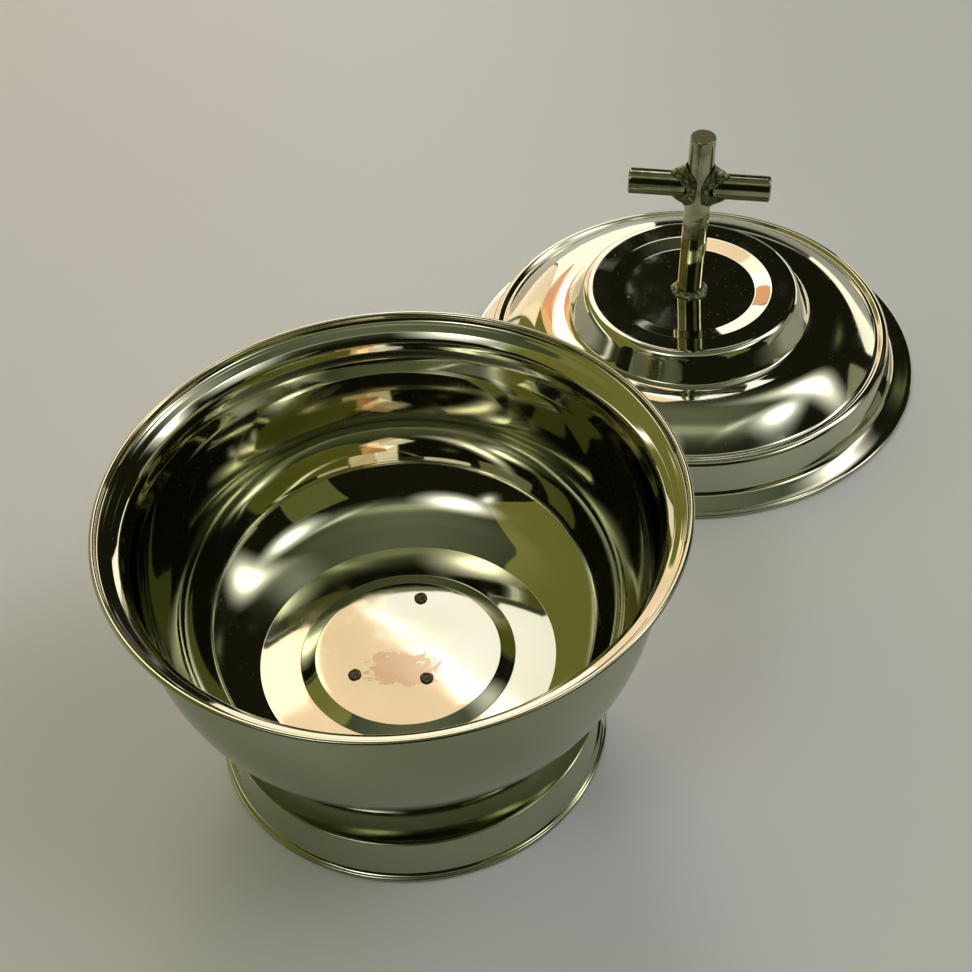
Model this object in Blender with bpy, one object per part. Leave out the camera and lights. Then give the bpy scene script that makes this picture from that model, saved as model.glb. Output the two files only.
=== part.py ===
"""Table-top baptismal font in polished stainless steel.

A pressed bowl stands on a flared pedestal, and its lid, with a cross of round
bar for a handle, lies rim down beside it on the same surface.

Units are metres and +Z is up.  The axes of the bowl and of the lid stand in
the XZ plane, and the middle of the pair's box is over the world origin.
"""
import math

import bmesh
import bpy
from mathutils import Vector

# ---- driving dimensions -----------------------------------------------------
RIM_R = 0.1200          # bowl, over the rolled rim
BOWL_H = 0.1380         # top of the rolled rim above the table
SHEET = 0.0010          # wall of the bowl, lid and pedestal
GAP = 0.0003            # clearance between touching pieces
BEAD = 0.0012           # radius of the rolled edges, which are flat where they rest
BEAD_HALF_H = BEAD * math.cos(math.radians(18))

# bowl floor: a raised centre with a flat ring round it
FLOOR_Z = 0.0481
FLOOR_STEP = 0.0018
PLATEAU_R = 0.0398
PLATEAU_FOOT_R = 0.0462
RING_R = 0.0634

# bowl wall: a cone from the ring's edge, two thirds of a quarter ellipse, then a
# steeper curve up to the bulge
ELLIPSE_START_R = 0.0656    # where the ellipse would start, level with the raised centre
ELLIPSE_END_R = 0.1048
ELLIPSE_END_Z = 0.1008
SHOULDER_R = 0.1068         # where the tangents of the upper curve meet
SHOULDER_Z = 0.0915
BULGE_R = 0.1070
BULGE_Z = 0.1128
CREASE_Z = 0.1221
LIP_R = 0.1090
CREST_R = 0.1104
CREST_Z = 0.1306
SEAT_IN_R = 0.1149
SEAT_IN_Z = 0.1335
SEAT_OUT_R = 0.1173
SEAT_OUT_Z = 0.1346

# pedestal
FOOT_R = 0.0850
NECK_R = 0.0590
SKIRT_R = 0.0807
SKIRT_Z = 0.0206
CROWN_Z = FLOOR_Z - FLOOR_STEP - SHEET - GAP    # top of the crown plate
NECK_DROP = 0.0050      # straight part of the neck under the crown
SKIRT_LEDGE = 0.0015    # the flare ends this far inside the skirt

# plug welds that hold the bowl to the pedestal: radius and bearing of each
PLUG_PLACES = ((0.0307, 21), (0.0254, 149), (0.0175, 239))
PLUG_HOLE_R = 0.0022
PLUG_CAP_R = 0.0028
PLUG_CAP_H = 0.0009
PLUG_TAIL_H = 0.0008

# lid, measured from the table it lies on
LID_R = 0.1170
LID_SPACING = 0.2747    # bowl axis to lid axis
WALL_FOOT_R = 0.1054
WALL_FOOT_Z = 0.0056
RIDGE_R = 0.1005
RIDGE_Z = 0.0237
HAT_BASE_R = 0.0612
HAT_BASE_Z = 0.0377
HAT_R = 0.0538
HAT_Z = 0.0512
RECESS_R = 0.0413
RECESS_FLOOR_R = 0.0333
RECESS_Z = 0.0490
DOME_RISE = 0.0040      # how far the dome arches above a straight cone

# cross, measured along the post from its foot
BAR_R = 0.00635
POST_LENGTH = 0.0930
ARM_HEIGHT = 0.0648
ARM_REACH = 0.0346
CROSS_TURN = math.radians(113.7)
CROSS_LEAN = math.radians(2.5)      # it was welded on leaning towards its right arm
FOOT_LIFT = BAR_R * math.sin(CROSS_LEAN)
WELD_R = BAR_R + GAP

SEGMENTS = 36
BAR_SEGMENTS = 20
LID_LIFT_EMPTY = "lid_axis"

PAIR_LENGTH = RIM_R + LID_SPACING + LID_R
BOWL_X = RIM_R - PAIR_LENGTH / 2
LID_X = BOWL_X + LID_SPACING


# ---- helpers ----------------------------------------------------------------
def clear_scene():
    for obj in list(bpy.data.objects):
        bpy.data.objects.remove(obj, do_unlink=True)


def make_material(name, colour, roughness, metallic=1.0):
    mat = bpy.data.materials.new(name)
    mat.use_nodes = True
    shader = mat.node_tree.nodes["Principled BSDF"]
    shader.inputs["Base Color"].default_value = (*colour, 1.0)
    shader.inputs["Roughness"].default_value = roughness
    shader.inputs["Metallic"].default_value = metallic
    mat.diffuse_color = (*colour, 1.0)
    return mat


def add_object(name, bm, material, location, parent=None):
    mesh = bpy.data.meshes.new(name)
    bm.to_mesh(mesh)
    bm.free()
    mesh.materials.append(material)
    obj = bpy.data.objects.new(name, mesh)
    bpy.context.scene.collection.objects.link(obj)
    obj.parent = parent
    obj.location = location
    return obj


def add_empty(name, location, rotation, parent=None):
    empty = bpy.data.objects.new(name, None)
    bpy.context.scene.collection.objects.link(empty)
    empty.parent = parent
    empty.location = location
    empty.rotation_euler = rotation
    return empty


def smooth(obj):
    obj.data.shade_smooth()
    obj.data.set_sharp_from_angle(angle=math.radians(35))


def rounded(corners, steps=3):
    """Polyline through (r, z, fillet) corners, each fillet a run of steps."""
    out = []
    for i, (r, z, fillet) in enumerate(corners):
        if fillet == 0:
            out.append((r, z))
            continue
        before = corners[i - 1]
        after = corners[i + 1]
        ax, az = before[0] - r, before[1] - z
        bx, bz = after[0] - r, after[1] - z
        la, lb = math.hypot(ax, az), math.hypot(bx, bz)
        cos_half = math.sqrt((1 + (ax * bx + az * bz) / (la * lb)) / 2)
        reach = min(fillet * cos_half / math.sqrt(1 - cos_half ** 2), la / 2, lb / 2)
        start = (r + ax / la * reach, z + az / la * reach)
        end = (r + bx / lb * reach, z + bz / lb * reach)
        for k in range(steps + 1):
            t = k / steps
            a, b, c = (1 - t) ** 2, 2 * t * (1 - t), t * t
            out.append((a * start[0] + b * r + c * end[0], a * start[1] + b * z + c * end[1]))
    return out


def rolled_edge(outer_r, middle_z, first, last):
    """A ten-sided rolled edge in the profile plane, flat at top and bottom.

    It runs clockwise from the first to the last tenth of a turn.
    """
    out = []
    for k in range(first, last - 1, -1):
        a = math.radians(36 * k)
        out.append((outer_r - BEAD + BEAD * math.cos(a), middle_z + BEAD * math.sin(a)))
    return out


def offset(points, distance):
    """The polyline moved to its right-hand side by a distance, ends squared off."""
    out = []
    last = len(points) - 1
    for i, (r, z) in enumerate(points):
        before = points[max(i - 1, 0)]
        after = points[min(i + 1, last)]
        d1 = (r - before[0], z - before[1]) if i else (after[0] - r, after[1] - z)
        d2 = (after[0] - r, after[1] - z) if i < last else d1
        l1, l2 = math.hypot(*d1), math.hypot(*d2)
        n1 = (d1[1] / l1, -d1[0] / l1)
        n2 = (d2[1] / l2, -d2[0] / l2)
        mid = (n1[0] + n2[0], n1[1] + n2[1])
        grow = 2 * distance / (mid[0] ** 2 + mid[1] ** 2)
        out.append((max(r + mid[0] * grow, 0.0), z + mid[1] * grow))
    return out


def turned(name, profile, material, x, parent=None):
    """A solid of revolution.  The profile runs down its outer side."""
    bm = bmesh.new()
    verts = [bm.verts.new((r, 0.0, z)) for r, z in profile]
    for a, b in zip(verts, verts[1:]):
        bm.edges.new((a, b))
    place = (0.0, 0.0, 0.0) if parent else (x, 0.0, 0.0)
    obj = add_object(name, bm, material, place, parent)
    screw = obj.modifiers.new("turn", "SCREW")
    screw.axis = "Z"
    screw.angle = math.tau
    screw.steps = SEGMENTS
    screw.render_steps = SEGMENTS
    screw.use_merge_vertices = True
    screw.merge_threshold = 0.00001
    screw.use_smooth_shade = True
    return obj


def drill(obj, places, radius, low, high):
    """Cut round holes along Z at each place."""
    bm = bmesh.new()
    for x, y in places:
        made = bmesh.ops.create_cone(
            bm, cap_ends=True, segments=12, radius1=radius, radius2=radius, depth=high - low)
        bmesh.ops.translate(bm, verts=made["verts"], vec=(x, y, (high + low) / 2))
    mesh = bpy.data.meshes.new(obj.name + "_drill")
    bm.to_mesh(mesh)
    bm.free()
    cutter = bpy.data.objects.new(obj.name + "_drill", mesh)
    bpy.context.scene.collection.objects.link(cutter)
    cutter.location = obj.location
    cutter.hide_render = True
    cutter.display_type = "WIRE"
    cut = obj.modifiers.new("holes", "BOOLEAN")
    cut.operation = "DIFFERENCE"
    cut.solver = "EXACT"
    cut.object = cutter


def plug_places():
    """Centres of the plug welds, measured from the bowl's axis."""
    out = []
    for reach, bearing in PLUG_PLACES:
        a = math.radians(bearing)
        out.append((reach * math.cos(a), reach * math.sin(a)))
    return out


# ---- bowl -------------------------------------------------------------------
def bowl_wall():
    """Inner surface of the wall, from the top of its cone to the bulge."""
    wide = ELLIPSE_END_R - ELLIPSE_START_R
    deep = ELLIPSE_END_Z - FLOOR_Z
    wall = []
    for k in range(1, 6):
        a = math.radians(60 * k / 5)
        wall.append((ELLIPSE_START_R + wide * math.sin(a), ELLIPSE_END_Z - deep * math.cos(a)))
    start_r, start_z = wall[-1]
    for k in range(1, 5):
        t = k / 4
        a, b, c = (1 - t) ** 2, 2 * t * (1 - t), t * t
        wall.append((a * start_r + b * SHOULDER_R + c * BULGE_R,
                     a * start_z + b * SHOULDER_Z + c * BULGE_Z))
    return wall


def bowl_inside():
    """Upper surface of the bowl's sheet, from the axis out to the rolled rim."""
    wall = bowl_wall()
    low = FLOOR_Z - FLOOR_STEP
    floor = rounded([
        (0.0, FLOOR_Z, 0), (PLATEAU_R, FLOOR_Z, 0.0016), (PLATEAU_FOOT_R, low, 0.0016),
        (RING_R, low, 0.0010), (*wall[0], 0)], 1)
    rim = rounded([
        (BULGE_R - 0.0005, CREASE_Z, 0),
        (LIP_R - 0.0010, CREASE_Z + 0.0032, 0.0012), (LIP_R, CREST_Z - 0.0012, 0),
        (CREST_R, CREST_Z + 0.0003, 0.0012), (SEAT_IN_R, SEAT_IN_Z, 0),
        (SEAT_OUT_R, SEAT_OUT_Z, 0)], 1)
    return floor + wall[1:] + rim


def make_bowl(material):
    inside = bowl_inside()
    outside = offset(inside, SHEET)
    bead = rolled_edge(RIM_R, BOWL_H - BEAD_HALF_H, 5, -2)
    bowl = turned("bowl", inside + bead + outside[::-1], material, BOWL_X)
    drill(bowl, plug_places(), PLUG_HOLE_R + GAP, FLOOR_Z - 0.005, FLOOR_Z + 0.005)
    return bowl


# ---- pedestal ---------------------------------------------------------------
def pedestal_outside():
    """Upper and outer surface of the pedestal, from the axis down to the bead."""
    boss_r = PLATEAU_R - 0.0020
    crown = rounded([
        (0.0, CROWN_Z + FLOOR_STEP, 0), (boss_r, CROWN_Z + FLOOR_STEP, 0.0014),
        (boss_r + 0.0064, CROWN_Z, 0.0014), (NECK_R, CROWN_Z, 0.0022),
        (NECK_R, CROWN_Z - NECK_DROP, 0)], 1)
    flare = []
    wide = SKIRT_R - SKIRT_LEDGE - NECK_R
    deep = CROWN_Z - NECK_DROP - SKIRT_Z
    for k in range(1, 6):
        a = math.radians(90 * k / 6)
        r = SKIRT_R - SKIRT_LEDGE - wide * math.cos(a)
        flare.append((r, CROWN_Z - NECK_DROP - deep * math.sin(a)))
    skirt = rounded([
        (SKIRT_R - 0.0030, SKIRT_Z + 0.0001, 0), (SKIRT_R, SKIRT_Z, 0.0009),
        (FOOT_R - 2 * BEAD, 2 * BEAD, 0)], 1)
    return crown + flare + skirt


def make_pedestal(material):
    outside = pedestal_outside()
    below = offset(outside, SHEET)
    bead = rolled_edge(FOOT_R, BEAD_HALF_H, 3, -4)
    pedestal = turned("pedestal", outside[:-1] + bead + below[-2::-1], material, BOWL_X)
    low = CROWN_Z - 0.004
    drill(pedestal, plug_places(), PLUG_HOLE_R + GAP, low, FLOOR_Z)
    return pedestal


# ---- plug welds -------------------------------------------------------------
def make_plugs(material):
    """Three weld plugs through the bowl's floor and the pedestal's crown."""
    top = FLOOR_Z + GAP
    tail = CROWN_Z + FLOOR_STEP - SHEET - GAP
    profile = [
        (0.0, top + PLUG_CAP_H), (PLUG_CAP_R * 0.62, top + PLUG_CAP_H - 0.0001),
        (PLUG_CAP_R, top + 0.0003), (PLUG_CAP_R, top), (PLUG_HOLE_R, top),
        (PLUG_HOLE_R, tail), (PLUG_CAP_R, tail), (PLUG_CAP_R * 0.9, tail - 0.0005),
        (0.0, tail - PLUG_TAIL_H)]
    bm = bmesh.new()
    add_lathe(bm, profile, 12)
    first = None
    for number, (x, y) in enumerate(plug_places(), start=1):
        name = "plug_weld_" + str(number)
        place = (BOWL_X + x, y, 0.0)
        if first is None:
            first = add_object(name, bm, material, place)
            smooth(first)
            continue
        copy = bpy.data.objects.new(name, first.data)
        bpy.context.scene.collection.objects.link(copy)
        copy.location = place


def add_lathe(bm, profile, sides):
    """A closed turned body whose profile starts and ends on the Z axis."""
    rings = []
    for r, z in profile:
        if r == 0.0:
            rings.append([bm.verts.new((0.0, 0.0, z))])
            continue
        ring = []
        for k in range(sides):
            a = math.tau * k / sides
            ring.append(bm.verts.new((r * math.cos(a), r * math.sin(a), z)))
        rings.append(ring)
    for upper, lower in zip(rings, rings[1:]):
        for k in range(sides):
            n = (k + 1) % sides
            if len(upper) == 1:
                bm.faces.new((upper[0], lower[k], lower[n]))
            elif len(lower) == 1:
                bm.faces.new((upper[k], lower[0], upper[n]))
            else:
                bm.faces.new((upper[k], lower[k], lower[n], upper[n]))


# ---- lid --------------------------------------------------------------------
def lid_outside():
    """Upper surface of the lid, from its axis out to the rolled edge."""
    top = rounded([
        (0.0, RECESS_Z, 0), (RECESS_FLOOR_R, RECESS_Z, 0.0012), (RECESS_R, HAT_Z - 0.0004, 0.0014),
        (HAT_R, HAT_Z, 0.0022), (HAT_BASE_R, HAT_BASE_Z, 0.0016),
        (HAT_BASE_R + 0.0030, HAT_BASE_Z - 0.0008, 0)], 1)
    start = (HAT_BASE_R + 0.0030, HAT_BASE_Z - 0.0008)
    end = (RIDGE_R - 0.0042, RIDGE_Z - 0.0014)
    dome = []
    for k in range(1, 6):
        t = k / 6
        rise = DOME_RISE * math.sin(math.pi * t)
        r = start[0] + (end[0] - start[0]) * t
        dome.append((r, start[1] + (end[1] - start[1]) * t + rise))
    edge = rounded([
        end + (0.0,), (RIDGE_R - 0.0030, RIDGE_Z - 0.0016, 0.0008),
        (RIDGE_R - 0.0010, RIDGE_Z, 0.0016), (RIDGE_R + 0.0022, RIDGE_Z - 0.0010, 0.0020),
        (WALL_FOOT_R, WALL_FOOT_Z, 0.0016), (LID_R - 2.2 * BEAD, 2 * BEAD, 0)], 1)
    return top + dome + edge


def make_lid(material, parent):
    outside = lid_outside()
    below = offset(outside, SHEET)
    bead = rolled_edge(LID_R, BEAD_HALF_H, 3, -4)
    return turned("lid", outside + bead + below[::-1], material, 0.0, parent)


# ---- cross ------------------------------------------------------------------
def add_bar(name, start, end, material, parent, direction):
    """Round bar between two distances along a direction, ends chamfered."""
    chamfer = 0.0006
    sides = [
        (start, BAR_R - chamfer), (start + chamfer, BAR_R),
        (end - chamfer, BAR_R), (end, BAR_R - chamfer)]
    along = direction.normalized()
    helper = along.orthogonal().normalized()
    across = along.cross(helper)
    bm = bmesh.new()
    rings = []
    for reach, radius in sides:
        ring = []
        for k in range(BAR_SEGMENTS):
            a = math.tau * k / BAR_SEGMENTS
            spot = along * reach + helper * radius * math.cos(a) + across * radius * math.sin(a)
            ring.append(bm.verts.new(spot))
        rings.append(ring)
    for low, high in zip(rings, rings[1:]):
        for k in range(BAR_SEGMENTS):
            n = (k + 1) % BAR_SEGMENTS
            bm.faces.new((low[k], low[n], high[n], high[k]))
    bm.faces.new(rings[0][::-1])
    bm.faces.new(rings[-1])
    bmesh.ops.recalc_face_normals(bm, faces=bm.faces)
    obj = add_object(name, bm, material, (0.0, 0.0, 0.0), parent)
    smooth(obj)
    return obj


def loft_ring(name, sections, material, location, parent):
    """A closed ring lofted through equal closed sections."""
    bm = bmesh.new()
    rings = [[bm.verts.new(p) for p in section] for section in sections]
    for a, b in zip(rings, rings[1:] + rings[:1]):
        for k in range(len(a)):
            n = (k + 1) % len(a)
            bm.faces.new((a[k], a[n], b[n], b[k]))
    bmesh.ops.recalc_face_normals(bm, faces=bm.faces)
    obj = add_object(name, bm, material, location, parent)
    smooth(obj)
    return obj


def ripple(angle, seed):
    """Hand-laid unevenness of a weld, between about -1 and 1."""
    return 0.6 * math.sin(3 * angle + seed) + 0.4 * math.sin(7 * angle + 2.3 * seed)


def arm_weld_sections(side, seed):
    """Sections of the fillet weld round an arm, where it meets the post."""
    sections = []
    count = 24
    for i in range(count):
        a = math.tau * i / count
        up, out = math.sin(a), math.cos(a)
        tall = 0.0012 + 0.0040 * abs(up) ** 3 + 0.0005 * ripple(a, seed)
        leg = 0.0042 + 0.0032 * abs(up) ** 2 + 0.0007 * ripple(a, seed + 1.7)
        section = []
        for radius, reach in (
                (WELD_R, 0.0), (WELD_R, leg), (WELD_R + 0.0008, leg - 0.0005),
                (WELD_R + 0.3 * tall + 0.0005, 0.34 * leg), (WELD_R + tall, 0.0006)):
            flat = radius * out
            root = math.sqrt(max(WELD_R ** 2 - flat ** 2, 0.0016 ** 2))
            section.append((side * max(root + reach, 0.0016), flat, radius * up))
        sections.append(section)
    return sections


def base_weld_sections(seed):
    """Sections of the fillet weld round the foot of the post, which leans."""
    sections = []
    count = 24
    for i in range(count):
        a = math.tau * i / count
        wide = 0.0042 + 0.0009 * ripple(a, seed)
        tall = 0.0038 + 0.0006 * ripple(a, seed + 0.9)
        section = []
        corners = (
            (0.0, 0.0), (0.0, tall), (0.32 * wide, 0.45 * tall), (wide, 0.0007), (wide, 0.0))
        for reach, z in corners:
            r = WELD_R + reach
            shift = -math.tan(CROSS_LEAN) * (z - FOOT_LIFT)
            section.append((r * math.cos(a) + shift, r * math.sin(a), z))
        sections.append(section)
    return sections


def make_cross(steel, weld, parent):
    foot_z = RECESS_Z + GAP
    turn = add_empty("cross_axis", (0.0, 0.0, foot_z), (0.0, 0.0, CROSS_TURN), parent)
    lean = add_empty("cross_lean", (0.0, 0.0, FOOT_LIFT), (0.0, -CROSS_LEAN, 0.0), turn)
    add_bar("cross_post", 0.0, POST_LENGTH, steel, lean, Vector((0.0, 0.0, 1.0)))
    for name, side, seed in (("left", 1.0, 0.4), ("right", -1.0, 2.9)):
        out = Vector((side, 0.0, 0.0))
        arm = add_bar("cross_arm_" + name, BAR_R + GAP, ARM_REACH, steel, lean, out)
        arm.location.z = ARM_HEIGHT
        sections = arm_weld_sections(side, seed)
        loft_ring("arm_weld_" + name, sections, weld, (0.0, 0.0, ARM_HEIGHT), lean)
    loft_ring("post_weld", base_weld_sections(1.1), weld, (0.0, 0.0, 0.0), turn)


# ---- the font ---------------------------------------------------------------
def main():
    clear_scene()
    polished = make_material("polished_steel", (0.60, 0.59, 0.53), 0.10)
    satin = make_material("satin_steel", (0.50, 0.51, 0.44), 0.28)
    weld = make_material("weld_metal", (0.34, 0.33, 0.26), 0.42)
    plug = make_material("plug_weld_metal", (0.10, 0.10, 0.08), 0.55)
    bar = make_material("bar_steel", (0.52, 0.52, 0.45), 0.18)

    make_bowl(polished)
    make_pedestal(satin)
    make_plugs(plug)

    lid_axis = add_empty(LID_LIFT_EMPTY, (LID_X, 0.0, 0.0), (0.0, 0.0, 0.0))
    make_lid(polished, lid_axis)
    make_cross(bar, weld, lid_axis)


main()
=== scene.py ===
"""Looks of the table-top baptismal font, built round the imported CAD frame.

Every visible piece is a finer mesh of the CAD node that it replaces, with a
procedural metal.  Units are metres, +Z is up, and the table is at z = 0.
"""

import math

import bmesh
import bpy
from mathutils import Matrix, Vector, noise


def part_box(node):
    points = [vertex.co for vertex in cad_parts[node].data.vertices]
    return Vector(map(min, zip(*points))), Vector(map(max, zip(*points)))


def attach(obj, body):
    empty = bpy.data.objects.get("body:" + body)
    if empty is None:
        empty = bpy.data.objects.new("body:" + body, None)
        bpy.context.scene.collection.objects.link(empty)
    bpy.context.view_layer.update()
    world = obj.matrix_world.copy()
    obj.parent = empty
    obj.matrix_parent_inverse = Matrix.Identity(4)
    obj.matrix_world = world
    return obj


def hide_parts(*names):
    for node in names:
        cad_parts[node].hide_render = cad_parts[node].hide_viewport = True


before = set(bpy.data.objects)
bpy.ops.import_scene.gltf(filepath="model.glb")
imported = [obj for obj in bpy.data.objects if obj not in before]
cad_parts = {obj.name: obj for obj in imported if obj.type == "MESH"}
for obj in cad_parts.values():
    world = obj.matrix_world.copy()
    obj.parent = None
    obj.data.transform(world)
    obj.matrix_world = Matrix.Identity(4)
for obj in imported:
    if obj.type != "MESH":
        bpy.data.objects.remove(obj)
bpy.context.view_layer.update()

# ---- places taken from the frame --------------------------------------------
BOWL_LOW, BOWL_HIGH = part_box("bowl")
LID_LOW, LID_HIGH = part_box("lid")
BOWL_X = (BOWL_LOW.x + BOWL_HIGH.x) / 2
LID_X = (LID_LOW.x + LID_HIGH.x) / 2
RIM_R = (BOWL_HIGH.x - BOWL_LOW.x) / 2
BOWL_H = BOWL_HIGH.z
LID_R = (LID_HIGH.x - LID_LOW.x) / 2

# ---- sizes shared with the CAD ----------------------------------------------
SHEET = 0.0010
GAP = 0.0003
BEAD = 0.0012
BEAD_HALF_H = BEAD * math.cos(math.radians(18))

FLOOR_Z = 0.0481
FLOOR_STEP = 0.0018
PLATEAU_R = 0.0398
PLATEAU_FOOT_R = 0.0462
RING_R = 0.0634
ELLIPSE_START_R = 0.0656
ELLIPSE_END_R = 0.1048
ELLIPSE_END_Z = 0.1008
SHOULDER_R = 0.1068
SHOULDER_Z = 0.0915
BULGE_R = 0.1070
BULGE_Z = 0.1128
CREASE_Z = 0.1221
LIP_R = 0.1090
CREST_R = 0.1104
CREST_Z = 0.1306
SEAT_IN_R = 0.1149
SEAT_IN_Z = 0.1335
SEAT_OUT_R = 0.1173
SEAT_OUT_Z = 0.1346

FOOT_R = 0.0850
NECK_R = 0.0590
SKIRT_R = 0.0807
SKIRT_Z = 0.0206
CROWN_Z = FLOOR_Z - FLOOR_STEP - SHEET - GAP
NECK_DROP = 0.0050
SKIRT_LEDGE = 0.0015

PLUG_PLACES = ((0.0307, 21), (0.0254, 149), (0.0175, 239))
PLUG_HOLE_R = 0.0022
PLUG_CAP_R = 0.0028

WALL_FOOT_R = 0.1054
WALL_FOOT_Z = 0.0056
RIDGE_R = 0.1005
RIDGE_Z = 0.0237
HAT_BASE_R = 0.0612
HAT_BASE_Z = 0.0377
HAT_R = 0.0538
HAT_Z = 0.0512
RECESS_R = 0.0413
RECESS_FLOOR_R = 0.0333
RECESS_Z = 0.0490
DOME_RISE = 0.0040

BAR_R = 0.00635
POST_LENGTH = 0.0930
ARM_HEIGHT = 0.0648
ARM_REACH = 0.0346
CROSS_TURN = math.radians(113.7)
CROSS_LEAN = math.radians(2.5)
FOOT_LIFT = BAR_R * math.sin(CROSS_LEAN)
WELD_R = BAR_R + GAP

# ---- finish -----------------------------------------------------------------
MARK_X = -0.0091        # tan oval patch on the raised centre, from the bowl's axis
MARK_Y = -0.0035
MARK_TURN = math.radians(32)
MARK_HALF_LENGTH = 0.0150
MARK_HALF_WIDTH = 0.0085
WAVES_PER_METRE = 24    # slow unevenness of the sheets
BOWL_WAVE = 0.00008
PEDESTAL_WAVE = 0.00008
LID_WAVE = 0.00014
ARM_WELD_LUMP = 0.00035
POST_WELD_LUMP = 0.00018
POST_TOP_GAP = 0.00006  # keeps the dressed end of the leaning post in the CAD box

# ---- fineness of the meshes -------------------------------------------------
SEGMENTS = 288          # a multiple of four, so that the rim reaches the CAD box
BAR_SEGMENTS = 72
PLUG_SEGMENTS = 40
WELD_SEGMENTS = 120
FILLET_STEPS = 6
LONGEST_EDGE = 0.0022


# ---- profiles ---------------------------------------------------------------
def rounded(corners):
    """Polyline through (r, z, fillet) corners, each fillet a curve of a few steps."""
    out = []
    for i, (r, z, fillet) in enumerate(corners):
        if fillet == 0:
            out.append((r, z))
            continue
        before = corners[i - 1]
        after = corners[i + 1]
        ax, az = before[0] - r, before[1] - z
        bx, bz = after[0] - r, after[1] - z
        la, lb = math.hypot(ax, az), math.hypot(bx, bz)
        cos_half = math.sqrt((1 + (ax * bx + az * bz) / (la * lb)) / 2)
        reach = min(fillet * cos_half / math.sqrt(1 - cos_half ** 2), la / 2, lb / 2)
        start = (r + ax / la * reach, z + az / la * reach)
        end = (r + bx / lb * reach, z + bz / lb * reach)
        for k in range(FILLET_STEPS + 1):
            t = k / FILLET_STEPS
            a, b, c = (1 - t) ** 2, 2 * t * (1 - t), t * t
            out.append((a * start[0] + b * r + c * end[0], a * start[1] + b * z + c * end[1]))
    return out


def refined(points):
    """The polyline with its long straight stretches cut into shorter ones."""
    out = [points[0]]
    for (r0, z0), (r1, z1) in zip(points, points[1:]):
        parts = max(1, math.ceil(math.hypot(r1 - r0, z1 - z0) / LONGEST_EDGE))
        for k in range(1, parts + 1):
            out.append((r0 + (r1 - r0) * k / parts, z0 + (z1 - z0) * k / parts))
    return out


def rolled_edge(outer_r, middle_z, first, last):
    """Round rolled edge, running clockwise between two angles in degrees."""
    out = []
    steps = 16
    for k in range(steps + 1):
        a = math.radians(first + (last - first) * k / steps)
        out.append((outer_r - BEAD + BEAD * math.cos(a), middle_z + BEAD_HALF_H * math.sin(a)))
    return out


def offset(points, distance):
    """The polyline moved to its right-hand side by a distance, ends squared off."""
    out = []
    last = len(points) - 1
    for i, (r, z) in enumerate(points):
        before = points[max(i - 1, 0)]
        after = points[min(i + 1, last)]
        d1 = (r - before[0], z - before[1]) if i else (after[0] - r, after[1] - z)
        d2 = (after[0] - r, after[1] - z) if i < last else d1
        l1, l2 = math.hypot(*d1), math.hypot(*d2)
        n1 = (d1[1] / l1, -d1[0] / l1)
        n2 = (d2[1] / l2, -d2[0] / l2)
        mid = (n1[0] + n2[0], n1[1] + n2[1])
        grow = 2 * distance / (mid[0] ** 2 + mid[1] ** 2)
        out.append((max(r + mid[0] * grow, 0.0), z + mid[1] * grow))
    return out


def bowl_wall():
    """Inner surface of the wall: part of an ellipse, then a curve to the bulge."""
    wide = ELLIPSE_END_R - ELLIPSE_START_R
    deep = ELLIPSE_END_Z - FLOOR_Z
    wall = []
    for degrees in range(12, 61, 2):
        a = math.radians(degrees)
        wall.append((ELLIPSE_START_R + wide * math.sin(a), ELLIPSE_END_Z - deep * math.cos(a)))
    start_r, start_z = wall[-1]
    steps = 24
    for k in range(1, steps + 1):
        t = k / steps
        a, b, c = (1 - t) ** 2, 2 * t * (1 - t), t * t
        wall.append((a * start_r + b * SHOULDER_R + c * BULGE_R,
                     a * start_z + b * SHOULDER_Z + c * BULGE_Z))
    return wall


def bowl_inside():
    """Upper surface of the bowl's sheet, from the axis out to the rolled rim."""
    wall = bowl_wall()
    low = FLOOR_Z - FLOOR_STEP
    floor = rounded([
        (0.0, FLOOR_Z, 0), (PLATEAU_R, FLOOR_Z, 0.0016), (PLATEAU_FOOT_R, low, 0.0022),
        (RING_R, low, 0.0008), (*wall[0], 0)])
    rim = rounded([
        (*wall[-1], 0), (BULGE_R - 0.0005, CREASE_Z, 0.0016),
        (LIP_R - 0.0010, CREASE_Z + 0.0032, 0.0020), (LIP_R - 0.0001, CREST_Z - 0.0010, 0.0040),
        (CREST_R + 0.0017, CREST_Z + 0.0019, 0.0030), (SEAT_IN_R, SEAT_IN_Z, 0.0030),
        (SEAT_IN_R + 0.0009, SEAT_IN_Z + 0.0006, 0.0020), (SEAT_OUT_R, SEAT_OUT_Z, 0)])
    return refined(floor + wall[1:] + rim[1:])


def pedestal_outside():
    """Upper and outer surface of the pedestal, from the axis down to the bead."""
    boss_r = PLATEAU_R - 0.0020
    crown = rounded([
        (0.0, CROWN_Z + FLOOR_STEP, 0), (boss_r, CROWN_Z + FLOOR_STEP, 0.0014),
        (boss_r + 0.0064, CROWN_Z, 0.0014), (NECK_R, CROWN_Z, 0.0022),
        (NECK_R, CROWN_Z - NECK_DROP, 0)])
    wide = SKIRT_R - SKIRT_LEDGE - NECK_R
    deep = CROWN_Z - NECK_DROP - SKIRT_Z
    flare = []
    for degrees in range(3, 76, 3):
        a = math.radians(degrees)
        r = SKIRT_R - SKIRT_LEDGE - wide * math.cos(a)
        flare.append((r, CROWN_Z - NECK_DROP - deep * math.sin(a)))
    skirt = rounded([
        (SKIRT_R - 0.0030, SKIRT_Z + 0.0001, 0), (SKIRT_R, SKIRT_Z, 0.0009),
        (FOOT_R - 2 * BEAD, 2 * BEAD, 0)])
    return refined(crown + flare + skirt)


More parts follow.
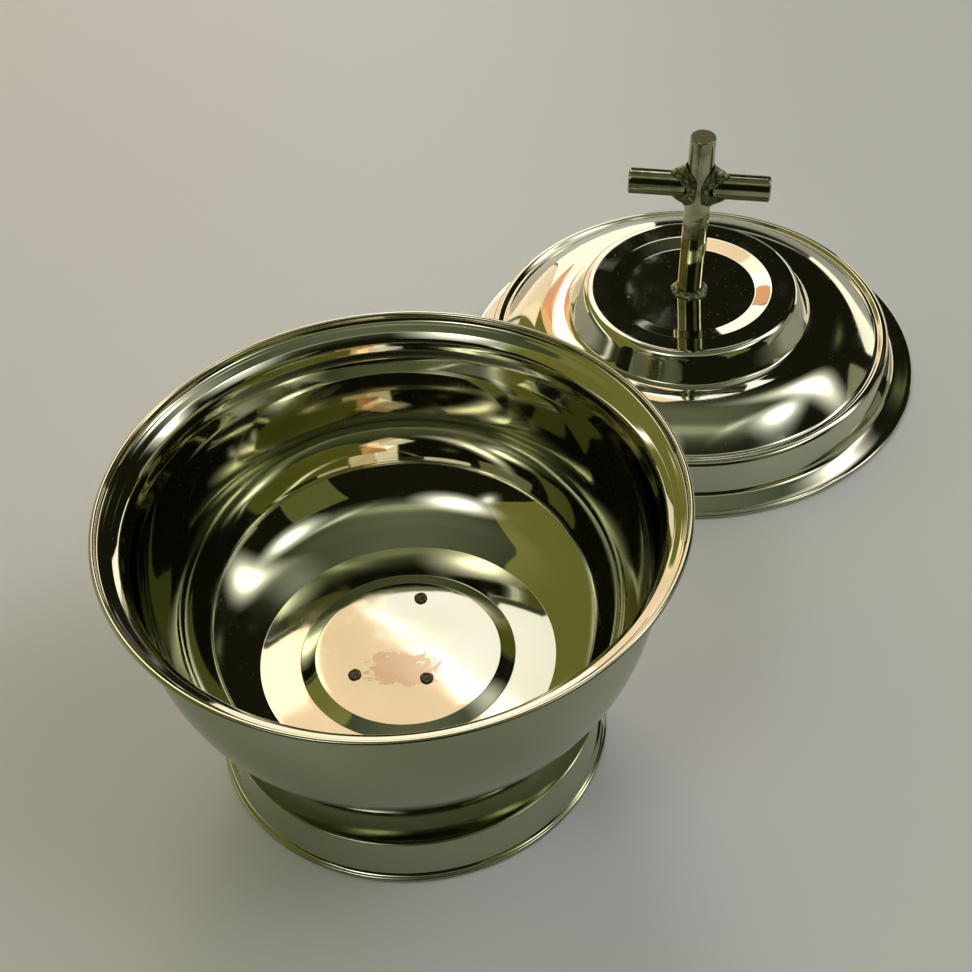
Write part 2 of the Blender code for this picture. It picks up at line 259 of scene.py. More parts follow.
def lid_outside():
    """Upper surface of the lid, from its axis out to the rolled edge."""
    shoulder = (HAT_BASE_R + 0.0030, HAT_BASE_Z - 0.0008)
    top = rounded([
        (0.0, RECESS_Z, 0), (RECESS_FLOOR_R, RECESS_Z, 0.0034), (RECESS_R, HAT_Z - 0.0004, 0.0046),
        (HAT_R, HAT_Z, 0.0052), (HAT_BASE_R, HAT_BASE_Z, 0.0018), (*shoulder, 0)])
    end = (RIDGE_R - 0.0042, RIDGE_Z - 0.0014)
    dome = []
    steps = 36
    for k in range(1, steps):
        t = k / steps
        rise = DOME_RISE * math.sin(math.pi * t)
        r = shoulder[0] + (end[0] - shoulder[0]) * t
        dome.append((r, shoulder[1] + (end[1] - shoulder[1]) * t + rise))
    edge = rounded([
        end + (0,), (RIDGE_R - 0.0030, RIDGE_Z - 0.0016, 0.0012),
        (RIDGE_R - 0.0010, RIDGE_Z, 0.0020), (RIDGE_R + 0.0022, RIDGE_Z - 0.0012, 0.0032),
        (WALL_FOOT_R, WALL_FOOT_Z, 0.0040), (LID_R - 2.2 * BEAD, 2 * BEAD, 0)])
    return refined(top + dome + edge)


# ---- meshes -----------------------------------------------------------------
def add_object(name, bm, material, place, body, node):
    """Turn a bmesh into a piece that stands for a CAD node."""
    bmesh.ops.recalc_face_normals(bm, faces=bm.faces)
    mesh = bpy.data.meshes.new(name)
    bm.to_mesh(mesh)
    bm.free()
    mesh.materials.append(material)
    mesh.shade_smooth()
    obj = bpy.data.objects.new(name, mesh)
    bpy.context.scene.collection.objects.link(obj)
    obj.matrix_world = place
    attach(obj, body)
    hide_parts(node)
    return obj


def ring_faces(bm, rings):
    """Join equal rings of vertices; a ring of one vertex closes to a fan."""
    for a, b in zip(rings, rings[1:]):
        count = max(len(a), len(b))
        for k in range(count):
            n = (k + 1) % count
            if len(a) == 1 and len(b) == 1:
                continue
            if len(a) == 1:
                bm.faces.new((a[0], b[k], b[n]))
            elif len(b) == 1:
                bm.faces.new((a[k], b[0], a[n]))
            else:
                bm.faces.new((a[k], b[k], b[n], a[n]))


def waviness(x, y, z, seed):
    """Slow unevenness of hand-polished sheet, about -1 to 1."""
    spot = Vector((x, y, z)) * WAVES_PER_METRE
    return noise.noise(spot + Vector((seed, 0.0, 0.0)))


def turned_mesh(profile, seed, depth, calm):
    """A turned sheet.  It is wavy by depth, apart from where calm(r, z) is near 0."""
    bm = bmesh.new()
    rings = []
    last = len(profile) - 1
    for i, (r, z) in enumerate(profile):
        if r < 1e-7:
            rings.append([bm.verts.new((0.0, 0.0, z))])
            continue
        before = profile[max(i - 1, 0)]
        after = profile[min(i + 1, last)]
        run, rise = after[0] - before[0], after[1] - before[1]
        size = math.hypot(run, rise) or 1.0
        nr, nz = rise / size, -run / size
        amount = depth * calm(r, z)
        ring = []
        for k in range(SEGMENTS):
            a = math.tau * k / SEGMENTS
            c, s = math.cos(a), math.sin(a)
            push = amount * waviness(r * c, r * s, z, seed) if amount else 0.0
            ring.append(bm.verts.new(((r + nr * push) * c, (r + nr * push) * s, z + nz * push)))
        rings.append(ring)
    ring_faces(bm, rings)
    return bm


def step_between(value, first, last):
    """0 up to the first value, 1 from the last one on, smooth between."""
    t = min(max((value - first) / (last - first), 0.0), 1.0)
    return t * t * (3 - 2 * t)


# ---- materials --------------------------------------------------------------
class Nodes:
    """Short calls for building a node tree."""

    def __init__(self, name):
        self.material = bpy.data.materials.new(name)
        self.material.use_nodes = True
        self.tree = self.material.node_tree
        self.shader = self.tree.nodes["Principled BSDF"]

    def link(self, source, target):
        self.tree.links.new(source, target)

    def put(self, socket, value):
        if isinstance(value, bpy.types.NodeSocket):
            self.link(value, socket)
        else:
            socket.default_value = value

    def math(self, operation, a, b=0.0, clamp=False):
        node = self.tree.nodes.new("ShaderNodeMath")
        node.operation = operation
        node.use_clamp = clamp
        self.put(node.inputs[0], a)
        self.put(node.inputs[1], b)
        return node.outputs[0]

    def span(self, value, low, high, out_low=0.0, out_high=1.0):
        node = self.tree.nodes.new("ShaderNodeMapRange")
        node.interpolation_type = "SMOOTHSTEP"
        self.put(node.inputs["Value"], value)
        node.inputs["From Min"].default_value = low
        node.inputs["From Max"].default_value = high
        node.inputs["To Min"].default_value = out_low
        node.inputs["To Max"].default_value = out_high
        return node.outputs["Result"]

    def mix(self, factor, a, b):
        node = self.tree.nodes.new("ShaderNodeMix")
        node.data_type = "RGBA"
        self.put(node.inputs[0], factor)
        self.put(node.inputs[6], a)
        self.put(node.inputs[7], b)
        return node.outputs[2]

    def noise(self, vector, scale, detail=3.0, roughness=0.55, distortion=0.0):
        node = self.tree.nodes.new("ShaderNodeTexNoise")
        self.link(vector, node.inputs["Vector"])
        node.inputs["Scale"].default_value = scale
        node.inputs["Detail"].default_value = detail
        node.inputs["Roughness"].default_value = roughness
        node.inputs["Distortion"].default_value = distortion
        return node.outputs["Fac"]

    def cells(self, vector, scale):
        node = self.tree.nodes.new("ShaderNodeTexVoronoi")
        self.link(vector, node.inputs["Vector"])
        node.inputs["Scale"].default_value = scale
        return node.outputs["Distance"]

    def place(self):
        return self.tree.nodes.new("ShaderNodeTexCoord").outputs["Object"]

    def along(self, x, y, way_x, way_y):
        """How far (x, y) lies along a direction."""
        return self.math("ADD", self.math("MULTIPLY", x, way_x), self.math("MULTIPLY", y, way_y))

    def reach(self, x, y):
        """Distance of (x, y) from the Z axis."""
        return self.math("SQRT", self.along(x, y, x, y))

    def outer_side(self, place):
        """1 where the sheet faces down or away from the Z axis, 0 elsewhere."""
        normal = self.tree.nodes.new("ShaderNodeTexCoord").outputs["Normal"]
        nx, ny, nz = self.split(normal)
        x, y, z = self.split(place)
        away = self.math("DIVIDE", self.along(x, y, nx, ny),
                         self.math("MAXIMUM", self.reach(x, y), 0.001))
        down = self.math("MULTIPLY", nz, -1.0)
        return self.span(self.math("MAXIMUM", away, down), 0.25, 0.55)

    def bar_end(self):
        """1 on the faces across a bar that lies along its own Z axis, 0 elsewhere."""
        normal = self.tree.nodes.new("ShaderNodeTexCoord").outputs["Normal"]
        return self.span(self.math("ABSOLUTE", self.split(normal)[2]), 0.75, 0.95)

    def tan_oval(self, place):
        """Below 1 inside a ragged oval mark on the bowl's raised centre, above 1 outside."""
        x, y, z = self.split(place)
        x = self.math("SUBTRACT", x, MARK_X)
        y = self.math("SUBTRACT", y, MARK_Y)
        across = self.along(x, y, math.cos(MARK_TURN), math.sin(MARK_TURN))
        lengthwise = self.along(x, y, -math.sin(MARK_TURN), math.cos(MARK_TURN))
        across = self.math("DIVIDE", across, MARK_HALF_WIDTH)
        lengthwise = self.math("DIVIDE", lengthwise, MARK_HALF_LENGTH)
        oval = self.along(across, lengthwise, across, lengthwise)
        ragged = self.noise(place, 130.0, 4.0, 0.6, 1.2)
        oval = self.math("ADD", oval, self.span(ragged, 0.25, 0.75, -0.9, 0.9))
        height = self.math("ABSOLUTE", self.math("SUBTRACT", z, FLOOR_Z))
        return self.math("ADD", oval, self.span(height, 0.0002, 0.0006, 0.0, 9.0))

    def split(self, vector):
        node = self.tree.nodes.new("ShaderNodeSeparateXYZ")
        self.link(vector, node.inputs[0])
        return node.outputs

    def join(self, x, y, z):
        node = self.tree.nodes.new("ShaderNodeCombineXYZ")
        self.put(node.inputs[0], x)
        self.put(node.inputs[1], y)
        self.put(node.inputs[2], z)
        return node.outputs[0]

    def bump(self, height, distance, under=None):
        node = self.tree.nodes.new("ShaderNodeBump")
        self.link(height, node.inputs["Height"])
        node.inputs["Distance"].default_value = distance
        if under is not None:
            self.link(under, node.inputs["Normal"])
        return node.outputs["Normal"]

    def finish(self, colour, roughness, normal):
        self.put(self.shader.inputs["Base Color"], colour)
        self.put(self.shader.inputs["Roughness"], roughness)
        self.shader.inputs["Metallic"].default_value = 1.0
        self.link(normal, self.shader.inputs["Normal"])
        return self.material


def polished_sheet(name, light, deep, outer, shine, outer_shine, seed, with_tan_oval=False):
    """Stainless sheet with turned micro-scratches, smudges, specks and dried spots.

    Its upper side is polished.  Its outer side has its own shine and its own colour, which where
    darker is a painted reflection of a darker floor.
    With with_tan_oval, the sheet has a ragged tan-brown oval patch near its centre.
    """
    n = Nodes(name)
    place = n.place()
    x, y, z = n.split(place)
    outside = n.outer_side(place)
    around = n.math("ARCTAN2", y, x)
    reach = n.reach(x, y)
    lathe = n.join(n.math("MULTIPLY", around, 1.2), n.math("MULTIPLY", reach, 900.0),
                   n.math("MULTIPLY", z, 900.0))
    turning = n.noise(lathe, 1.0, 4.0, 0.6)
    smudge = n.noise(place, 26.0 + seed, 5.0, 0.62, 0.8)
    haze = n.noise(place, 9.0 + seed, 2.0)
    speck = n.span(n.cells(place, 420.0), 0.10, 0.04)
    spots = n.span(n.cells(place, 95.0), 0.055, 0.035)
    scratch = n.noise(n.join(n.math("MULTIPLY", x, 60.0), n.math("MULTIPLY", y, 1400.0),
                             n.math("MULTIPLY", z, 200.0)), 1.0, 2.0)
    colour = n.mix(n.span(haze, 0.35, 0.65), light, deep)
    # painted reflection: the darker, greener outer colour on the bowl stands for the darker floor
    # that its outside reflects
    colour = n.mix(outside, colour, outer)
    colour = n.mix(n.math("MULTIPLY", speck, 0.35), colour, (0.09, 0.09, 0.06, 1.0))
    rough = n.span(smudge, 0.45, 0.80, shine, shine + 0.10)
    rough = n.math("ADD", rough, n.math("MULTIPLY", outside, outer_shine - shine))
    if with_tan_oval:
        # a ragged tan-brown oval patch on the raised centre, slightly rougher there
        mark = n.tan_oval(place)
        colour = n.mix(n.span(mark, 1.06, 1.00), colour, (0.50, 0.30, 0.18, 1.0))
        colour = n.mix(n.span(mark, 1.01, 0.96), colour, (0.40, 0.33, 0.23, 1.0))
        rough = n.math("ADD", rough, n.span(mark, 1.04, 0.80, 0.0, 0.06))
    rough = n.math("ADD", rough, n.math("MULTIPLY", spots, 0.12))
    rough = n.math("ADD", rough, n.span(turning, 0.62, 0.78, 0.0, 0.06))
    rough = n.math("ADD", rough, n.math("MULTIPLY", speck, 0.25), clamp=True)
    height = n.math("ADD", n.math("MULTIPLY", turning, 0.5), n.math("MULTIPLY", scratch, 0.25))
    fine = n.bump(height, 0.000004)
    broad = n.bump(n.noise(place, 30.0, 1.0), 0.00006, under=fine)
    return n.finish(colour, rough, broad)


def drawn_bar(name, light, deep, shine):
    """Bright drawn bar along Z, marked lengthwise, with rougher ground ends whose dark colour is
    painted shade.
    """
    n = Nodes(name)
    place = n.place()
    x, y, z = n.split(place)
    lengthwise = n.join(n.math("MULTIPLY", x, 1500.0), n.math("MULTIPLY", y, 1500.0),
                        n.math("MULTIPLY", z, 30.0))
    drawing = n.noise(lengthwise, 1.0, 3.0, 0.6)
    smudge = n.noise(place, 90.0, 4.0, 0.6)
    speck = n.span(n.cells(place, 700.0), 0.12, 0.05)
    colour = n.mix(n.span(smudge, 0.4, 0.7), light, deep)
    colour = n.mix(n.math("MULTIPLY", speck, 0.5), colour, (0.07, 0.07, 0.05, 1.0))
    rough = n.span(smudge, 0.35, 0.75, shine, shine + 0.12)
    rough = n.math("ADD", rough, n.span(drawing, 0.55, 0.75, 0.0, 0.10))
    ground_and_shaded_end = n.bar_end()
    # painted shade: the ends' dark colour; their added roughness is real grinding
    colour = n.mix(ground_and_shaded_end, colour, (0.15, 0.15, 0.08, 1.0))
    rough = n.math("ADD", rough, n.math("MULTIPLY", ground_and_shaded_end, 0.42))
    fine = n.bump(drawing, 0.000012)
    broad = n.bump(n.noise(place, 160.0, 2.0), 0.00008, under=fine)
    return n.finish(colour, rough, broad)


def weld_bead(name, light, deep, shine):
    """Weld metal: bright and dull lumps, fine grain and dark pits."""
    n = Nodes(name)
    place = n.place()
    lumps = n.noise(place, 520.0, 4.0, 0.65, 0.4)
    grain = n.noise(place, 2200.0, 3.0)
    pits = n.span(n.cells(place, 900.0), 0.30, 0.12)
    colour = n.mix(n.span(lumps, 0.38, 0.62), deep, light)
    colour = n.mix(n.math("MULTIPLY", pits, 0.7), colour, (0.035, 0.033, 0.02, 1.0))
    rough = n.span(lumps, 0.3, 0.7, shine + 0.22, shine)
    height = n.math("ADD", lumps, n.math("MULTIPLY", grain, 0.15))
    height = n.math("SUBTRACT", height, n.math("MULTIPLY", pits, 0.3))
    return n.finish(colour, rough, n.bump(height, 0.00035))


# ---- pieces -----------------------------------------------------------------
def make_bowl(material):
    """Pressed bowl with a rolled rim; its floor, lip and rim are true, its wall wavy."""
    inside = bowl_inside()
    bead = rolled_edge(RIM_R, BOWL_H - BEAD_HALF_H, 180, -72)
    profile = inside + bead + offset(inside, SHEET)[::-1]

    def calm(r, z):
        return step_between(r, 0.066, 0.078) * step_between(z, 0.118, 0.108)

    bm = turned_mesh(profile, 3.1, BOWL_WAVE, calm)
    place = Matrix.Translation((BOWL_X, 0.0, 0.0))
    return add_object("bowl_shell", bm, material, place, "font", "bowl")


def make_pedestal(material):
    """Pressed pedestal with a rolled edge; its crown and edge are true."""
    outside = pedestal_outside()
    below = offset(outside, SHEET)
    bead = rolled_edge(FOOT_R, BEAD_HALF_H, 108, -144)
    profile = outside[:-1] + bead + below[-2::-1]

    def calm(r, z):
        return step_between(r, 0.058, 0.062) * step_between(z, 0.003, 0.008)

    bm = turned_mesh(profile, 8.4, PEDESTAL_WAVE, calm)
    place = Matrix.Translation((BOWL_X, 0.0, 0.0))
    return add_object("pedestal_shell", bm, material, place, "font", "pedestal")


def make_lid(material):
    """Pressed lid with a rolled edge; only its dome is wavy."""
    outside = lid_outside()
    bead = rolled_edge(LID_R, BEAD_HALF_H, 108, -144)
    profile = outside + bead + offset(outside, SHEET)[::-1]

    def calm(r, z):
        return step_between(r, 0.062, 0.070) * step_between(r, 0.099, 0.093)

    bm = turned_mesh(profile, 5.7, LID_WAVE, calm)
    place = Matrix.Translation((LID_X, 0.0, 0.0))
    return add_object("lid_shell", bm, material, place, "lid", "lid")


def make_plugs(material):
    """Three small weld plugs with sunken, uneven caps."""
    top = FLOOR_Z + GAP
    tail = CROWN_Z + FLOOR_STEP - SHEET - GAP
    cap = [
        (0.0, 0.00035), (0.35, 0.00040), (0.60, 0.00070), (0.78, 0.00085), (0.93, 0.00060),
        (1.0, 0.00020), (1.0, -0.00005)]
    profile = [(PLUG_CAP_R * share, top + rise) for share, rise in cap]
    profile += [
        (PLUG_HOLE_R, top - 0.00005), (PLUG_HOLE_R, tail), (PLUG_CAP_R, tail),
        (PLUG_CAP_R * 0.9, tail - 0.0005), (PLUG_CAP_R * 0.5, tail - 0.0007), (0.0, tail - 0.0008)]
    for number, (reach, bearing) in enumerate(PLUG_PLACES, start=1):
        bm = bmesh.new()
        rings = []
        for r, z in profile:
            if r == 0.0:
                rings.append([bm.verts.new((0.0, 0.0, z))])
                continue
            swell = 0.0
            if z >= top:
                swell = 0.10 if r > PLUG_HOLE_R else 0.05
            lift = 0.00010 if z > top else 0.0
            ring = []
            for k in range(PLUG_SEGMENTS):
                a = math.tau * k / PLUG_SEGMENTS
                spot = Vector((r * math.cos(a), r * math.sin(a), z))
                lump = noise.noise(spot * 700 + Vector((number * 9.0, 0.0, 0.0)))
                grow = 1.0 + swell * lump
                ring.append(bm.verts.new((spot.x * grow, spot.y * grow, z + lift * lump)))
            rings.append(ring)
        ring_faces(bm, rings)
        a = math.radians(bearing)
        place = Matrix.Translation((BOWL_X + reach * math.cos(a), reach * math.sin(a), 0.0))
        name = "plug_weld_" + str(number)
        add_object(name + "_nugget", bm, material, place, "font", name)


def cross_place(lean=True):
    """Frame of the cross: its foot on the recess floor, arms along local X."""
    turn = Matrix.Translation((LID_X, 0.0, RECESS_Z + GAP)) @ Matrix.Rotation(CROSS_TURN, 4, "Z")
    if not lean:
        return turn
    tilt = Matrix.Translation((0.0, 0.0, FOOT_LIFT)) @ Matrix.Rotation(-CROSS_LEAN, 4, "Y")
    return turn @ tilt


def bar_mesh(length, chamfer):
    """Round bar along +Z from the origin, with dressed chamfers."""
    ends = [
        (0.0, BAR_R - 2.6 * chamfer), (0.0, BAR_R - 1.4 * chamfer),
        (0.25 * chamfer, BAR_R - 0.6 * chamfer), (chamfer, BAR_R - 0.05 * chamfer),
        (1.6 * chamfer, BAR_R)]
    stations = [(0.0, 0.0)] + ends
    pieces = 40
    for k in range(1, pieces):
        stations.append((1.6 * chamfer + (length - 3.2 * chamfer) * k / pieces, BAR_R))
    stations += [(length - at, radius) for at, radius in reversed(ends)] + [(length, 0.0)]
    bm = bmesh.new()
    rings = []
    for at, radius in stations:
        if radius == 0.0:
            rings.append([bm.verts.new((0.0, 0.0, at))])
            continue
        ring = []
        for k in range(BAR_SEGMENTS):
            a = math.tau * k / BAR_SEGMENTS
            ring.append(bm.verts.new((radius * math.cos(a), radius * math.sin(a), at)))
        rings.append(ring)
    ring_faces(bm, rings)
    return bm


def make_bars(material):
    """The leaning post and its two arms."""
    cross = cross_place()
    post = bar_mesh(POST_LENGTH - POST_TOP_GAP, 0.0005)
    add_object("cross_post_bar", post, material, cross, "lid", "cross_post")
    for name, side in (("left", 1.0), ("right", -1.0)):
        arm = bar_mesh(ARM_REACH - BAR_R - GAP, 0.0006)
        stand = Matrix.Translation((side * (BAR_R + GAP), 0.0, ARM_HEIGHT))
        lay = Matrix.Rotation(side * math.radians(90), 4, "Y")
        node = "cross_arm_" + name
        place = cross @ stand @ lay
        add_object(node + "_bar", arm, material, place, "lid", node)


def ripple(angle, seed):
    """Hand-laid unevenness of a weld, between about -1 and 1."""
    return 0.6 * math.sin(3 * angle + seed) + 0.4 * math.sin(7 * angle + 2.3 * seed)


def weld_mesh(sections, seed, roughness):
    """A closed ring lofted through equal closed sections, with lumps on it."""
    bm = bmesh.new()
    rings = []
    for section in sections:
        ring = []
        for spot, free in section:
            spot = Vector(spot)
            lump = noise.noise(spot * 520 + Vector((seed, 0.0, 0.0)))
            lump += 0.5 * noise.noise(spot * 1300 + Vector((0.0, seed, 0.0)))
            ring.append(bm.verts.new(spot + free * roughness * lump))
        rings.append(ring)
    rings.append(rings[0])
    for a, b in zip(rings, rings[1:]):
        for k in range(len(a)):
            n = (k + 1) % len(a)
            bm.faces.new((a[k], a[n], b[n], b[k]))
    return bm


def arm_weld_sections(side, seed):
    """Sections of the fillet weld round an arm: each point with its free direction."""
    sections = []
    cap_steps = 14
    thinnest = 0.0016
    for i in range(WELD_SEGMENTS):
        a = math.tau * i / WELD_SEGMENTS
        up, out = math.sin(a), math.cos(a)
        tall = 0.0012 + 0.0040 * abs(up) ** 3 + 0.0005 * ripple(a, seed)
        leg = 0.0042 + 0.0032 * abs(up) ** 2 + 0.0007 * ripple(a, seed + 1.7)
        outline = [(WELD_R, 0.0), (WELD_R, leg)]
        for k in range(1, cap_steps):
            t = k / cap_steps
            hollow = 1 - t - 0.55 * t * (1 - t)
            outline.append((WELD_R + tall * t + 0.0004 * math.sin(math.pi * t), leg * hollow))
        outline.append((WELD_R + tall, 0.0004))
        section = []
        for number, (radius, reach) in enumerate(outline):
            flat = radius * out
            root = math.sqrt(max(WELD_R ** 2 - flat ** 2, thinnest ** 2))
            spot = (side * max(root + reach, thinnest), flat, radius * up)
            loose = 1.0 if number > 1 else 0.0
            section.append((spot, Vector((side * 0.6, out, up)) * loose))
        sections.append(section)
    return sections


def base_weld_sections(seed):
    """Sections of the fillet weld round the foot of the leaning post."""
    sections = []
    cap_steps = 12
    for i in range(WELD_SEGMENTS):
        a = math.tau * i / WELD_SEGMENTS
        wide = 0.0027 + 0.0006 * ripple(a, seed)
        tall = 0.0024 + 0.0004 * ripple(a, seed + 0.9)
        outline = [(0.0, 0.0), (0.0, tall)]
        for k in range(1, cap_steps):
            t = k / cap_steps
            outline.append((wide * t, max(tall * (1 - t - 0.5 * t * (1 - t)), 0.0004)))
        outline.append((wide, 0.0))
        section = []
        for number, (reach, z) in enumerate(outline):
            r = WELD_R + reach
            shift = -math.tan(CROSS_LEAN) * (z - FOOT_LIFT)
            loose = 0.8 if 1 < number < len(outline) - 1 else 0.0
            free = Vector((math.cos(a) * 0.4, math.sin(a) * 0.4, 1.0)) * loose
            section.append(((r * math.cos(a) + shift, r * math.sin(a), z), free))
        sections.append(section)
    return sections


def make_welds(material):
    """The fillet welds of the two arms and of the post's foot."""
    for name, side, seed in (("left", 1.0, 0.4), ("right", -1.0, 2.9)):
        bm = weld_mesh(arm_weld_sections(side, seed), seed * 7, ARM_WELD_LUMP)
        place = cross_place() @ Matrix.Translation((0.0, 0.0, ARM_HEIGHT))
        node = "arm_weld_" + name
        add_object(node + "_bead", bm, material, place, "lid", node)
    bm = weld_mesh(base_weld_sections(1.1), 4.4, POST_WELD_LUMP)
    place = cross_place(lean=False)
    add_object("post_weld_bead", bm, material, place, "lid", "post_weld")


# ---- stage ------------------------------------------------------------------
CAMERA_PLACE = Vector((-0.5798, -0.3306, 0.6877))
CAMERA_HEADING = math.radians(32.74)
CAMERA_PITCH = math.radians(-44.535)
CAMERA_ROLL = math.radians(-3.664)
CAMERA_LENS = 72.78     # millimetres, on a 36 mm wide sensor
FLOOR_HALF = 6.0


def make_camera():
    data = bpy.data.cameras.new("camera")
    data.lens = CAMERA_LENS
    data.sensor_width = 36.0
    data.clip_start = 0.01
    data.clip_end = 50.0
    camera = bpy.data.objects.new("camera", data)
    bpy.context.scene.collection.objects.link(camera)
    aim = Matrix.Rotation(CAMERA_HEADING - math.radians(90), 4, "Z")
    dip = Matrix.Rotation(math.radians(90) + CAMERA_PITCH, 4, "X")
    roll = Matrix.Rotation(CAMERA_ROLL, 4, "Z")
    camera.matrix_world = Matrix.Translation(CAMERA_PLACE) @ aim @ dip @ roll
    bpy.context.scene.camera = camera


def make_floor():
    mesh = bpy.data.meshes.new("floor")
    half = FLOOR_HALF
    corners = [(-half, -half, 0.0), (half, -half, 0.0), (half, half, 0.0), (-half, half, 0.0)]
    mesh.from_pydata(corners, [], [(0, 1, 2, 3)])
    floor = bpy.data.objects.new("floor", mesh)
    bpy.context.scene.collection.objects.link(floor)
    n = Nodes("floor_paper")
    n.shader.inputs["Base Color"].default_value = (0.84, 0.87, 0.92, 1.0)
    n.shader.inputs["Roughness"].default_value = 0.38
    mesh.materials.append(n.material)


# Light panels round the table.  Each has a heading to the left of the camera's, an
# elevation, a width and height and a turn about its own middle, all in degrees,
# then its radiance, its colour and whether it is a soft oval.
PANELS = {
    "window_low": (4, 13, 16, 30, 0, 2.0, (1.00, 0.90, 0.84), False),
    "window_middle": (-0.5, 34, 8, 14, 0, 2.0, (1.00, 0.90, 0.84), False),
    "window_high": (-2.0, 46.5, 11, 24, 45, 1.8, (0.98, 0.94, 0.98), False),
    "cream_low": (22, 13, 19, 30, 0, 1.5, (1.00, 0.78, 0.60), False),
    "cream_high": (9.0, 53.3, 10, 22, 45, 1.5, (1.00, 0.75, 0.56), False),
    "cream_edge": (14, 47.5, 6, 7, 0, 1.4, (1.00, 0.75, 0.58), False),
    "peach_card": (13, 36, 15, 16, 0, 1.3, (1.00, 0.46, 0.26), False),
    "side_window": (139, 58, 24, 18, 0, 5.0, (0.99, 0.98, 0.94), True),
    "side_window_foot": (129, 43, 7, 15, 0, 1.5, (0.97, 0.96, 1.00), True),
    "right_window": (-74, 47, 15, 44, -35, 5.0, (1.00, 0.97, 0.92), True),
    "right_window_far": (-106, 55, 24, 17, 0, 5.0, (0.98, 1.00, 0.95), True),
    "ceiling_strip": (-132, 66, 26, 6, 8, 0.9, (0.95, 1.00, 0.86), True),
    "ceiling_glow": (176, 70, 60, 18, 0, 0.36, (0.95, 1.00, 0.72), True),
    "front_streak": (-17, 17, 3, 28, -45, 0.6, (1.00, 1.00, 0.95), True),
    "left_streak": (75, 18, 6, 56, 62, 3.2, (1.00, 0.96, 0.90), True),
    "olive_patch": (-45, 33, 13, 11, 0, 0.13, (0.95, 1.00, 0.50), True),
    "right_strip": (-42, 6, 34, 11, 0, 1.7, (1.00, 0.93, 0.85), False),
    "left_strip": (45, 5, 24, 9, 0, 1.3, (1.00, 0.82, 0.68), False),
    "right_low": (-88, 15, 40, 20, 0, 0.35, (1.00, 0.96, 0.65), False),
    "olive_wall": (68, 38, 82, 54, 0, 0.23, (1.00, 1.00, 0.22), False),
    "olive_corner": (-137, 32, 24, 30, 0, 0.18, (0.95, 1.00, 0.30), False),
}
PANEL_DISTANCE = 10.0

# Brightness of a soft panel from its middle (0) to its edge (1).  Its edge lies at
# SOFT_SPREAD times its stated size.
SOFT_FADE = (
    (0.0, 1.0), (0.20, 1.0), (0.29, 0.66), (0.38, 0.42), (0.48, 0.25), (0.60, 0.14), (0.75, 0.06),
    (0.88, 0.02), (1.0, 0.0))
SOFT_SPREAD = 1.6


def fade_light(data):
    """Make a light dimmer towards its edge, along SOFT_FADE."""
    data.use_nodes = True
    tree = data.node_tree
    place = tree.nodes.new("ShaderNodeNewGeometry").outputs["Parametric"]
    centred = tree.nodes.new("ShaderNodeVectorMath")
    centred.operation = "SUBTRACT"
    centred.inputs[1].default_value = (0.5, 0.5, 0.0)
    reach = tree.nodes.new("ShaderNodeVectorMath")
    reach.operation = "LENGTH"
    double = tree.nodes.new("ShaderNodeMath")
    double.operation = "MULTIPLY"
    double.inputs[1].default_value = 2.0
    ramp = tree.nodes.new("ShaderNodeValToRGB")
    tree.links.new(place, centred.inputs[0])
    tree.links.new(centred.outputs[0], reach.inputs[0])
    tree.links.new(reach.outputs["Value"], double.inputs[0])
    tree.links.new(double.outputs[0], ramp.inputs["Fac"])
    stops = ramp.color_ramp.elements
    stops[0].color = (1.0, 1.0, 1.0, 1.0)
    stops[1].color = (0.0, 0.0, 0.0, 1.0)
    for position, share in SOFT_FADE[1:-1]:
        stops.new(position).color = (share, share, share, 1.0)
    tree.links.new(ramp.outputs["Color"], tree.nodes["Emission"].inputs["Strength"])


def add_panel(name, heading, elevation, width, height, turn, radiance, colour, soft):
    """A light that faces the middle of the table; its width and height are in degrees."""
    a = CAMERA_HEADING + math.radians(heading)
    e = math.radians(elevation)
    way = Vector((math.cos(a) * math.cos(e), math.sin(a) * math.cos(e), math.sin(e)))
    spread = SOFT_SPREAD if soft else 1.0
    data = bpy.data.lights.new(name, "AREA")
    data.shape = "ELLIPSE" if soft else "RECTANGLE"
    data.size = 2 * PANEL_DISTANCE * math.tan(math.radians(width * spread / 2))
    data.size_y = 2 * PANEL_DISTANCE * math.tan(math.radians(height * spread / 2))
    share = math.pi / 4 if soft else 1.0
    data.energy = radiance * math.pi * share * data.size * data.size_y
    data.color = colour
    if soft:
        fade_light(data)
    light = bpy.data.objects.new(name, data)
    bpy.context.scene.collection.objects.link(light)
    facing = way.to_track_quat("Z", "Y").to_matrix().to_4x4()
    turned = Matrix.Rotation(math.radians(turn), 4, "Z")
    light.matrix_world = Matrix.Translation(way * PANEL_DISTANCE) @ facing @ turned


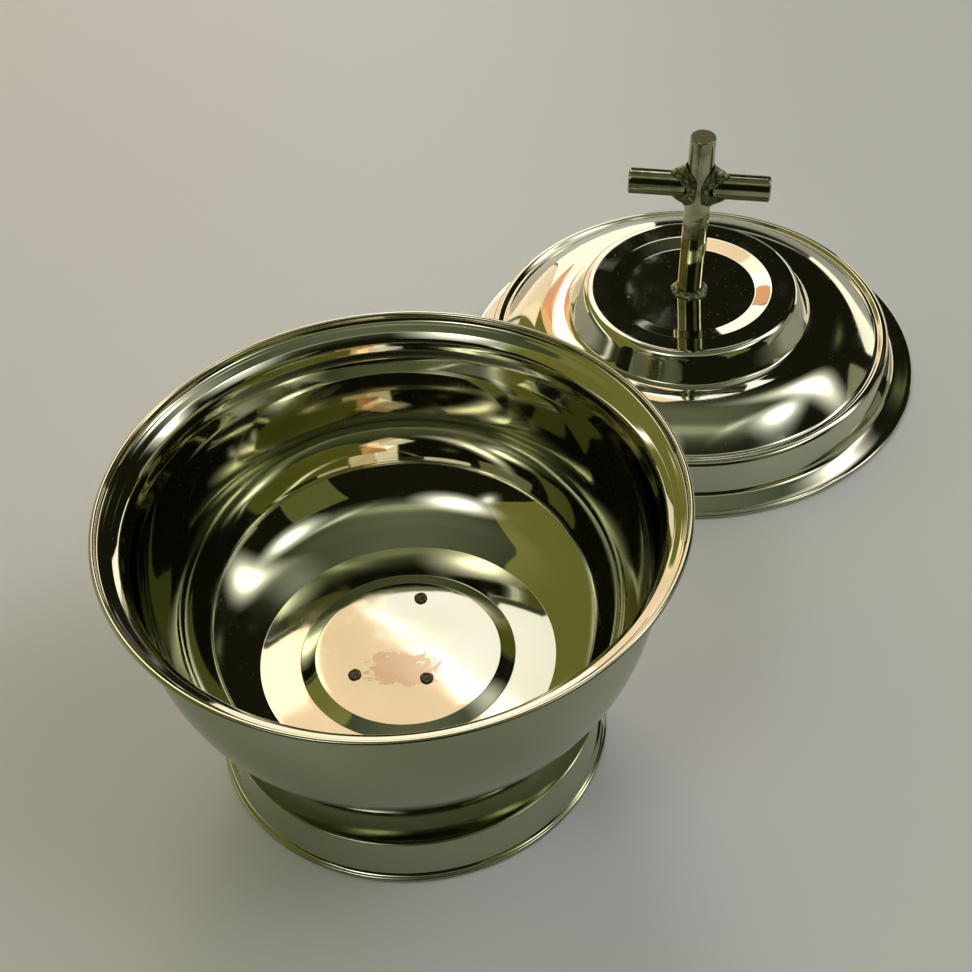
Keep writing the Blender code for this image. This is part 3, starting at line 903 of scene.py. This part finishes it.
def make_world():
    """Pale at the horizon, nearly black above it and dim overhead."""
    world = bpy.data.worlds.new("room")
    world.use_nodes = True
    bpy.context.scene.world = world
    tree = world.node_tree
    place = tree.nodes.new("ShaderNodeTexCoord")
    split = tree.nodes.new("ShaderNodeSeparateXYZ")
    tree.links.new(place.outputs["Generated"], split.inputs[0])
    ramp = tree.nodes.new("ShaderNodeValToRGB")
    tree.links.new(split.outputs["Z"], ramp.inputs["Fac"])
    stops = ramp.color_ramp.elements
    stops[0].position = 0.0
    stops[0].color = (0.36, 0.36, 0.30, 1.0)
    stops[1].position = 1.0
    stops[1].color = (0.17, 0.19, 0.12, 1.0)
    for position, colour in (
            (0.05, (0.16, 0.16, 0.10, 1.0)), (0.16, (0.012, 0.012, 0.006, 1.0)),
            (0.80, (0.012, 0.012, 0.006, 1.0)), (0.94, (0.11, 0.125, 0.075, 1.0))):
        stops.new(position).color = colour
    background = tree.nodes["Background"]
    tree.links.new(ramp.outputs["Color"], background.inputs["Color"])


def make_light():
    make_world()
    for name, panel in PANELS.items():
        add_panel(name, *panel)
    bpy.context.scene.view_settings.view_transform = "Standard"


# ---- the font ---------------------------------------------------------------
def main():
    # The bowl's outer colour and the pedestal's colours are darker and greener than the bowl's
    # inside: painted reflection of a darker floor.
    bright = polished_sheet("polished_steel", (0.57, 0.56, 0.43, 1.0), (0.47, 0.48, 0.34, 1.0),
                            (0.33, 0.36, 0.24, 1.0), 0.035, 0.15, 0.0, with_tan_oval=True)
    cover = polished_sheet("lid_steel", (0.60, 0.59, 0.47, 1.0), (0.52, 0.53, 0.40, 1.0),
                           (0.55, 0.55, 0.43, 1.0), 0.035, 0.05, 1.0)
    darkened_pedestal = polished_sheet("pedestal_steel", (0.44, 0.46, 0.33, 1.0), (0.38, 0.40, 0.28, 1.0),
                           (0.41, 0.43, 0.30, 1.0), 0.05, 0.06, 3.0)
    bar = drawn_bar("bar_steel", (0.42, 0.42, 0.28, 1.0), (0.24, 0.24, 0.14, 1.0), 0.05)
    weld = weld_bead("weld_metal", (0.30, 0.30, 0.17, 1.0), (0.06, 0.06, 0.03, 1.0), 0.16)
    plug = weld_bead("plug_weld_metal", (0.20, 0.18, 0.12, 1.0), (0.06, 0.055, 0.035, 1.0), 0.35)
    make_bowl(bright)
    make_pedestal(darkened_pedestal)
    make_plugs(plug)
    make_lid(cover)
    make_bars(bar)
    make_welds(weld)
    make_floor()
    make_light()
    make_camera()


main()
